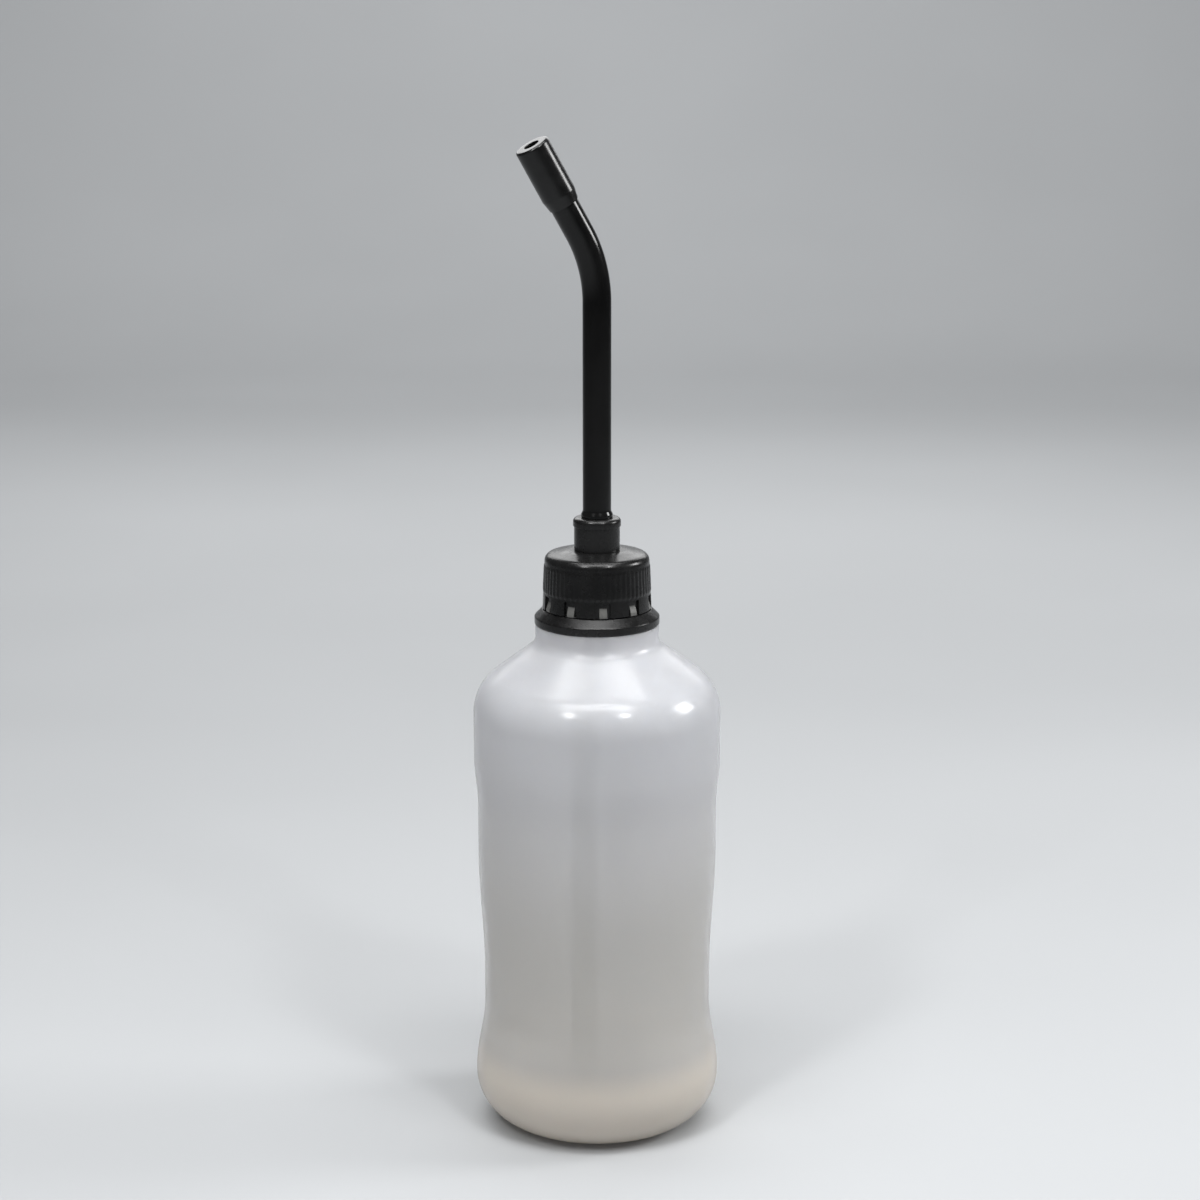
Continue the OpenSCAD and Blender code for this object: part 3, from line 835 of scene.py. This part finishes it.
@dataclass
class Cap:
    """Screw cap: finely ribbed skirt with a notched foot, sloping top edge and inner thread."""

    fit: ScrewFit
    draft: float = 0.7
    crown: float = 1.3
    flat_r: float = 8.5
    crown_round: float = 8.0
    edge_round: float = 2.2
    top: float = 2.5
    hole_r: float = 5.7
    lead: float = 0.4
    thread_lead: float = 2.9
    ribs: int = 60
    rib_out: float = 0.16
    rib_margin: float = 0.6
    rib_fade: float = 0.4
    notches: int = 10
    notch_w: float = 4.0
    notch_h: float = 4.3
    notch_depth: float = 0.9
    stub_w: float = 2.3
    stub_h: float = 2.7
    stub_face: float = 0.25
    first_notch: float = 254.8
    steps: int = 8
    nick: float = 0.02

    def __post_init__(self) -> None:
        """Works out the levels that the skirt needs."""
        self.foot, self.seat = level("cap", top=False), level("cap", top=True)
        self.edge, self.inner = self.seat - self.crown, self.seat - self.top

    def skirt_r(self, height: float) -> float:
        """Outer radius of the drafted skirt at a height."""
        share = (height - self.foot) / (self.edge - self.foot)
        return self.fit.cap_foot_r - self.draft * share

    def off_notch(self, angle: np.ndarray) -> np.ndarray:
        """Angle from each column to the middle of the nearest notch."""
        pitch = 2 * np.pi / self.notches
        return (angle - math.radians(self.first_notch) + pitch / 2) % pitch - pitch / 2

    def columns(self) -> np.ndarray:
        """Angles of the columns: even, with a close pair at each side of a notch and of a stub."""
        pitch = 2 * np.pi / self.notches
        even = np.linspace(-pitch / 2, pitch / 2, self.ribs * self.steps // self.notches + 1)[:-1]
        sides = np.array([self.notch_w, self.stub_w]) / 2 / self.fit.cap_foot_r
        nick = self.nick / self.fit.cap_foot_r
        pairs = np.concatenate([sides - nick, sides + nick])
        one = np.sort(np.concatenate([even, pairs, -pairs]))
        start = math.radians(self.first_notch) + pitch * np.arange(self.notches)
        return (start[:, None] + one).ravel()

    def outline(self) -> np.ndarray:
        """Half section of the cap, with rows at the tops of the notches and the stubs.

        Returns:
            The points as rows of (radius, height).
        """
        fit = self.fit
        breaks = (self.stub_face * self.stub_h, self.stub_h, self.notch_h - self.nick,
                  self.notch_h + self.nick)
        return outline([
            (fit.cap_bore_r + self.lead, self.foot, 0.0),
            (fit.cap_foot_r, self.foot, fit.fine_round),
            *((self.skirt_r(self.foot + up), self.foot + up, 0.0) for up in breaks),
            (fit.cap_foot_r - self.draft, self.edge, self.edge_round),
            (self.flat_r, self.seat, self.crown_round),
            (self.hole_r, self.seat, 0.0),
            (self.hole_r, self.inner, 0.0),
            (fit.cap_bore_r, self.inner, 0.0),
            (fit.cap_bore_r, self.foot + self.lead, 0.0)], step=0.3, turn=7.0)

    def rib_rise(self, points: np.ndarray, angle: np.ndarray) -> np.ndarray:
        """How far the grip ribs stand out of the skirt.

        Round the skirt the ribs are the upper part of a cosine wave, and they fade out at both
        ends.

        Args:
            points: Outline of the cap as (radius, height).
            angle: The angles of the columns.

        Returns:
            The rise, rows by columns.
        """
        low = self.foot + self.notch_h + self.rib_margin
        high = self.edge - self.edge_round - self.rib_margin
        wave = (1 + np.cos(self.ribs * (angle - math.radians(self.first_notch)))) / 2
        ends = np.minimum(points[:, 1] - low, high - points[:, 1]) / self.rib_fade
        outside = points[:, 0] > self.fit.cap_bore_r + self.nick
        return self.rib_out * (np.clip(ends, 0, 1) * outside)[:, None] * wave ** 0.8

    def notched(self, points: np.ndarray, angle: np.ndarray,
                radius: np.ndarray) -> tuple[np.ndarray, np.ndarray]:
        """Cuts the notches into the foot of the skirt and leaves a torn stub in each.

        The floor of a notch is flat across the radius. A stub fills the notch nearly to the
        skirt's face at its foot, and slopes back to the floor at its top.

        Args:
            points: Outline of the cap as (radius, height).
            angle: The angles of the columns.
            radius: The radius of every point before the cut.

        Returns:
            The new radius of every point, and 1 for the points of the stubs, else 0.
        """
        foot_r, off = self.fit.cap_foot_r, self.off_notch(angle)
        floor_r = foot_r - self.notch_depth
        up = points[:, 1] - self.foot
        low = ((up < self.notch_h) & (points[:, 0] > floor_r))[:, None]
        in_notch = np.abs(off) * foot_r < self.notch_w / 2
        slope = np.clip((up / self.stub_h - self.stub_face) / (1 - self.stub_face), 0, 1)
        face = foot_r - self.fit.fine_round - slope * (self.notch_depth - self.fit.fine_round)
        on_stub = np.abs(off) * foot_r < self.stub_w / 2
        bottom = np.where(on_stub, face[:, None], floor_r) / np.cos(off)
        cut = np.where(low & in_notch, np.minimum(radius, bottom), radius)
        torn = low & on_stub & (up <= self.stub_h)[:, None]
        return cut, torn.astype(np.float32)

    def build(self) -> bpy.types.Object:
        """Builds the cap with its ribs, notches and thread and dresses it.

        Returns:
            The new piece.
        """
        fit = self.fit
        points, angle = self.outline(), self.columns()
        base = fit.cap_crest + fit.cap_flank * fit.depth
        thread = Thread(self.foot + self.thread_lead + base / 2, fit.pitch, fit.turns, fit.depth,
                        base, fit.cap_crest)
        on_bore = np.abs(points[:, 0] - fit.cap_bore_r) < SAME
        radius = (points[:, :1] + self.rib_rise(points, angle)
                  - thread.rise(angle % (2 * np.pi), points[:, 1]) * on_bore[:, None])
        radius, torn = self.notched(points, angle, radius)
        piece = surface("screw_cap", turned(radius, points[:, 1], angle))
        # Marks the stub points for the paler colour: torn plastic and a painted highlight.
        mark = piece.data.attributes.new(BlackPlastic.TORN_GLINT, "FLOAT", "POINT")
        mark.data.foreach_set("value", torn.ravel())
        # The stub colour is torn plastic plus a painted highlight.
        finish = BlackPlastic("cap_plastic", (0.003, 0.003, 0.003), Sheen.SATIN, 0.0015,
                              torn_glint_colour=(0.11, 0.11, 0.105))
        return dressed(piece, finish.material(), "cap", "cap", "cap")


@dataclass
class Spout:
    """Collar, bent pipe, tip sleeve and dip tube, all round sections on two paths."""

    collar_r: float = 6.6
    collar_rim_out: float = 0.3
    collar_rim_h: float = 2.5
    collar_round: float = 1.2
    shank_wall: float = 1.45
    running: float = 0.05
    seal_up: float = 3.7
    seal_h: float = 1.5
    seal_squeeze: float = 0.77
    pipe_r: float = 4.1
    pipe_wall: float = 1.1
    bead_out: float = 0.45
    bead_h: float = 1.9
    rise: float = 61.6
    bend_r: float = 40.0
    bend_angle: float = 30.0
    tip_len: float = 28.4
    spigot_wall: float = 0.8
    spigot_len: float = 10.5
    spigot_cone: float = 1.4
    snap_h: float = 1.2
    snap_in: float = 0.4
    snap_up: float = 1.1
    sleeve_wall: float = 0.9
    sleeve_len: float = 16.0
    sleeve_taper: float = 3.2
    sleeve_end: float = 0.3
    lip_len: float = 3.0
    lip_round: float = 0.8
    mouth_r: float = 2.2
    tube_wall: float = 0.75
    tube_shift: float = 4.1
    tube_curl_r: float = 30.0
    sides: int = 96

    def __post_init__(self) -> None:
        """Works out the levels and the two paths."""
        self.collar_top = level("spout_collar", top=True)
        self.shank_z = level("spout_collar", top=False)
        self.cap_seat = level("cap", top=True)
        self.pipe_low = level("spout_pipe", top=False)
        self.bore_r = self.pipe_r - self.pipe_wall
        bend = math.radians(self.bend_angle) * self.bend_r
        straight = self.collar_top + self.rise - self.pipe_low
        self.path = Route(0.0, self.pipe_low, 0.0, (
            (straight, 0.0), (bend, self.bend_angle), (self.tip_len, 0.0)))
        curl = math.acos(1 - self.tube_shift / (2 * self.tube_curl_r))
        arc = curl * self.tube_curl_r
        self.tube_low, tube_top = level("dip_tube", top=False), level("dip_tube", top=True)
        curl_top = self.pipe_low - 1.0
        curl_low = curl_top - 2 * self.tube_curl_r * math.sin(curl)
        turn = math.degrees(curl)
        self.tube_path = Route(-self.tube_shift, self.tube_low, 0.0, (
            (curl_low - self.tube_low, 0.0), (arc, -turn), (arc, turn),
            (tube_top - curl_top, 0.0)))

    def collar(self) -> bpy.types.Object:
        """Bush on top of the cap, with its wider rim, its shank below the cap and the seal's groove.
        """
        bore = self.pipe_r + self.running
        shank = bore + self.shank_wall
        rim_r, rim_z = self.collar_r + self.collar_rim_out, self.collar_top - self.collar_rim_h
        seal_r = bore + self.seal_h * self.seal_squeeze
        seal_z = self.cap_seat + self.seal_up
        points = outline([
            (bore, self.shank_z, 0.0),
            (shank, self.shank_z, 0.4),
            (shank, self.cap_seat, 0.0),
            (self.collar_r, self.cap_seat, 0.1),
            (self.collar_r, rim_z, 0.1),
            (rim_r, rim_z, 0.1),
            (rim_r, self.collar_top, self.collar_round),
            (bore, self.collar_top, 0.0),
            (bore, seal_z + self.seal_h, 0.0),
            (seal_r, seal_z + self.seal_h, 0.0),
            (seal_r, seal_z, 0.0),
            (bore, seal_z, 0.0)], step=0.5, turn=9.0)
        piece = surface("collar_bush", turned(points[:, 0], points[:, 1], angles(self.sides)))
        finish = BlackPlastic("collar_plastic", (0.004, 0.004, 0.004), Sheen.SATIN, 0.0015)
        return dressed(piece, finish.material(), "cap", "collar", "spout_collar")

    def pipe(self) -> bpy.types.Object:
        """Pipe from its thinner lower end over the bead and the bend to its end in the sleeve."""
        low = self.pipe_low
        spigot_r = self.bore_r
        spigot_bore = spigot_r - self.spigot_wall
        cone = self.spigot_len + self.spigot_cone
        snap = cone + self.snap_up
        bead = self.collar_top - low
        end = self.path.length - self.lip_len
        points = outline([
            (spigot_bore, 0.0, 0.0),
            (spigot_r, 0.0, 0.2),
            (spigot_r, self.spigot_len, 0.0),
            (self.pipe_r, cone, 0.0),
            (self.pipe_r, snap, 0.0),
            (self.pipe_r - self.snap_in, snap, 0.0),
            (self.pipe_r - self.snap_in, snap + self.snap_h, 0.0),
            (self.pipe_r, snap + self.snap_h, 0.0),
            (self.pipe_r, bead, 0.0),
            (self.pipe_r + self.bead_out, bead, 0.15),
            (self.pipe_r + self.bead_out, bead + self.bead_h / 2, self.bead_out),
            (self.pipe_r, bead + self.bead_h, 0.5),
            (self.pipe_r, end, 0.0),
            (self.bore_r, end, 0.0),
            (self.bore_r, cone, 0.0),
            (spigot_bore, self.spigot_len, 0.0)], step=0.9, turn=9.0)
        piece = surface("bent_pipe", carried(points, self.path, angles(self.sides)))
        finish = BlackPlastic("pipe_gloss", (0.002, 0.002, 0.002), Sheen.GLOSS, 0.001,
                              specular=0.25, stretch=(1.0, 1.0, 0.3))
        return dressed(piece, finish.material(), "spout", "pipe", "spout_pipe")

    def sleeve(self) -> bpy.types.Object:
        """Sleeve pushed over the end of the pipe, with a lip at the mouth and a tapered back."""
        mouth, outer = self.path.length, self.pipe_r + self.sleeve_wall
        back = mouth - self.sleeve_len - self.sleeve_taper
        points = outline([
            (self.mouth_r, mouth, 0.2),
            (self.mouth_r, mouth - self.lip_len, 0.0),
            (self.pipe_r, mouth - self.lip_len, 0.0),
            (self.pipe_r, back, 0.0),
            (self.pipe_r + self.sleeve_end, back, 0.0),
            (outer, mouth - self.sleeve_len, self.sleeve_wall),
            (outer, mouth, self.lip_round * self.sleeve_wall)], step=0.5, turn=9.0)
        piece = surface("tip_cover", carried(points, self.path, angles(self.sides)))
        finish = BlackPlastic("sleeve_gloss", (0.003, 0.003, 0.003), Sheen.SOFT, 0.002,
                              specular=0.3)
        return dressed(piece, finish.material(), "spout", "sleeve", "tip_sleeve")

    def dip_tube(self) -> bpy.types.Object:
        """Tube from the pipe's lower end down to the floor of the bottle, with its slight curl."""
        outer, inner = self.bore_r + self.tube_wall, self.bore_r
        points = outline([
            (inner, 0.0, 0.0), (outer, 0.0, 0.1),
            (outer, self.tube_path.length, 0.1), (inner, self.tube_path.length, 0.0)],
            step=1.5, turn=15.0)
        piece = surface("suction_tube", carried(points, self.tube_path, angles(self.sides // 2)))
        return dressed(piece, ClearTube().material(), "spout", "tube", "dip_tube")

    def build(self) -> None:
        """Builds and dresses the four pieces."""
        self.collar()
        self.pipe()
        self.sleeve()
        self.dip_tube()


@dataclass
class HiddenPieces:
    """Materials for the solids under the cap, which keep their own meshes."""

    foam: Plain = Plain("liner_foam", (0.62, 0.62, 0.60), (0.78, 0.78, 0.75), (0.7, 0.9))
    rubber: Plain = Plain("seal_rubber", (0.02, 0.02, 0.02), (0.04, 0.04, 0.04), (0.6, 0.8))
    steel: Plain = Plain("spring_steel", (0.45, 0.45, 0.46), (0.6, 0.6, 0.6), (0.25, 0.4), 1.0)

    def build(self) -> None:
        """Puts a material on each hidden solid."""
        nut = BlackPlastic("nut_plastic", (0.015, 0.015, 0.015), Sheen.SATIN, 0.005)
        rubber = self.rubber.material()
        finishes = {"cap_liner": self.foam.material(), "collar_nut": nut.material(),
                    "nut_washer": rubber, "pipe_seal": rubber, "snap_ring": self.steel.material()}
        for node, material in finishes.items():
            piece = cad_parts[node]
            piece.data.materials.clear()
            piece.data.materials.append(material)
            log.info("%s: dressed", node)


# The studio


@dataclass(frozen=True)
class Softbox:
    """One softbox, placed by its degrees to the right of the camera, degrees up and distance."""

    name: str
    side: float
    up: float
    away: float
    size: tuple[float, float]
    power: float
    aim: Point = (0.0, 0.0, 0.13)

    def build(self, heading: float) -> bpy.types.Object:
        """Adds the lamp and turns it towards its aim.

        Args:
            heading: The camera's heading in degrees.

        Returns:
            The lamp.
        """
        side, up, turn = (math.radians(v) for v in (self.side, self.up, heading))
        flat = -math.cos(side) * math.cos(up), math.sin(side) * math.cos(up)
        back = self.away * Vector((
            flat[0] * math.sin(turn) + flat[1] * math.cos(turn),
            flat[0] * math.cos(turn) - flat[1] * math.sin(turn), math.sin(up)))
        data = bpy.data.lights.new(self.name, "AREA")
        data.shape, data.energy = "RECTANGLE", self.power
        data.size, data.size_y = self.size
        lamp = bpy.data.objects.new(self.name, data)
        bpy.context.scene.collection.objects.link(lamp)
        lamp.location = Vector(self.aim) + back
        lamp.rotation_euler = back.to_track_quat("Z", "Y").to_euler()
        return lamp


@dataclass
class Studio:
    """Pale sweep, soft lamps and the camera."""

    BOXES: ClassVar[tuple[Softbox, ...]] = (
        Softbox("overhead_box", 0.0, 69.0, 0.9, (0.9, 0.26), 8.0),
        Softbox("zenith_box", 180.0, 84.0, 0.9, (0.9, 0.18), 3.9),
        Softbox("left_box", -32.0, 45.0, 1.1, (0.13, 0.18), 3.9),
        Softbox("right_box", 32.0, 45.0, 1.1, (0.13, 0.18), 3.2),
        Softbox("back_box", 180.0, 31.0, 1.1, (1.2, 0.6), 5.0),
        Softbox("side_box", 98.0, 18.0, 1.0, (0.30, 0.30), 5.5, (0.0, 0.0, 0.26)))

    distance: float = 0.800
    camera_height: float = 0.34081
    heading: float = 22.0
    side_step: float = 0.00087
    pitch: float = 12.877
    lens: float = 85.18
    floor_half: float = 2.4
    floor_depth: float = 1.5
    sweep_r: float = 0.8
    wall_top: float = 2.6
    floor_near: float = -2.5
    floor_colour: Colour = (0.40, 0.41, 0.42)
    world_colour: Colour = (0.95, 0.97, 1.0)
    world_strength: float = 0.10

    def sweep(self) -> bpy.types.Object:
        """Floor that turns up into a backdrop along a quarter circle.

        Returns:
            The floor.
        """
        angle = np.linspace(0, np.pi / 2, 33)
        forward = np.concatenate([
            [self.floor_near], self.floor_depth + self.sweep_r * np.sin(angle),
            [self.floor_depth + self.sweep_r]])
        height = np.concatenate([[0.0], self.sweep_r * (1 - np.cos(angle)), [self.wall_top]])
        turn = math.radians(self.heading)
        across = np.array([-self.floor_half, self.floor_half])[:, None]
        x = forward * math.sin(turn) + across * math.cos(turn)
        y = forward * math.cos(turn) - across * math.sin(turn)
        points = np.stack([x, y, np.broadcast_to(height, x.shape)], axis=-1)
        count = len(forward)
        low = np.arange(count - 1)
        faces = np.column_stack([low, low + count, low + count + 1, low + 1])
        mesh = bpy.data.meshes.new("studio_floor")
        mesh.from_pydata(points.reshape(-1, 3).tolist(), [], faces.tolist())
        mesh.shade_smooth()
        floor = bpy.data.objects.new("studio_floor", mesh)
        bpy.context.scene.collection.objects.link(floor)
        recipe = Recipe("floor_paper")
        mottle = recipe.noise(3.0, 2.0)
        paler = tuple(min(1.0, c * 1.04) for c in self.floor_colour)
        tint = recipe.mixed(recipe.mapped(mottle, 0.0, 1.0), self.floor_colour, paler)
        recipe.join(tint, recipe.shader.inputs["Base Color"])
        recipe.set(Roughness=0.9, Specular_IOR_Level=0.1)
        mesh.materials.append(recipe.material)
        return floor

    def camera(self) -> bpy.types.Object:
        """Camera at the photograph's height, distance and angle.

        Returns:
            The camera, which is also the scene's.
        """
        turn = math.radians(self.heading)
        data = bpy.data.cameras.new("camera")
        data.lens, data.sensor_width = self.lens, 36.0
        camera = bpy.data.objects.new("camera", data)
        bpy.context.scene.collection.objects.link(camera)
        camera.location = (
            -self.distance * math.sin(turn) + self.side_step * math.cos(turn),
            -self.distance * math.cos(turn) - self.side_step * math.sin(turn),
            self.camera_height)
        camera.rotation_euler = (math.radians(90 - self.pitch), 0.0, -turn)
        bpy.context.scene.camera = camera
        return camera

    def world(self) -> None:
        """Faint, even light from all round."""
        world = bpy.data.worlds.new("studio_world")
        world.use_nodes = True
        tree = world.node_tree
        tree.nodes.clear()
        output = tree.nodes.new("ShaderNodeOutputWorld")
        shader = tree.nodes.new("ShaderNodeBackground")
        shader.inputs["Color"].default_value = (*self.world_colour, 1.0)
        shader.inputs["Strength"].default_value = self.world_strength
        tree.links.new(shader.outputs["Background"], output.inputs["Surface"])
        bpy.context.scene.world = world

    def build(self) -> None:
        """Builds the studio and sets the plain view transform."""
        self.sweep()
        self.camera()
        self.world()
        turn, depth = math.radians(self.heading), self.floor_depth + self.sweep_r
        wall = (depth * math.sin(turn), depth * math.cos(turn), 0.5)
        backdrop = Softbox("backdrop_box", 0.0, 28.0, 1.4, (1.6, 0.5), 17.0, wall)
        for box in (*self.BOXES, backdrop):
            box.build(self.heading)
        bpy.context.scene.view_settings.view_transform = "Standard"
        log.info("studio: ready")


def main() -> None:
    """Builds the studio and every piece."""
    logging.basicConfig(level=logging.INFO, format="%(name)s: %(message)s")
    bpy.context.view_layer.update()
    fit = ScrewFit()
    Studio().build()
    Bottle(fit).build()
    TamperRing(fit).build()
    Cap(fit).build()
    Spout().build()
    HiddenPieces().build()


if __name__ == "__main__":
    main()
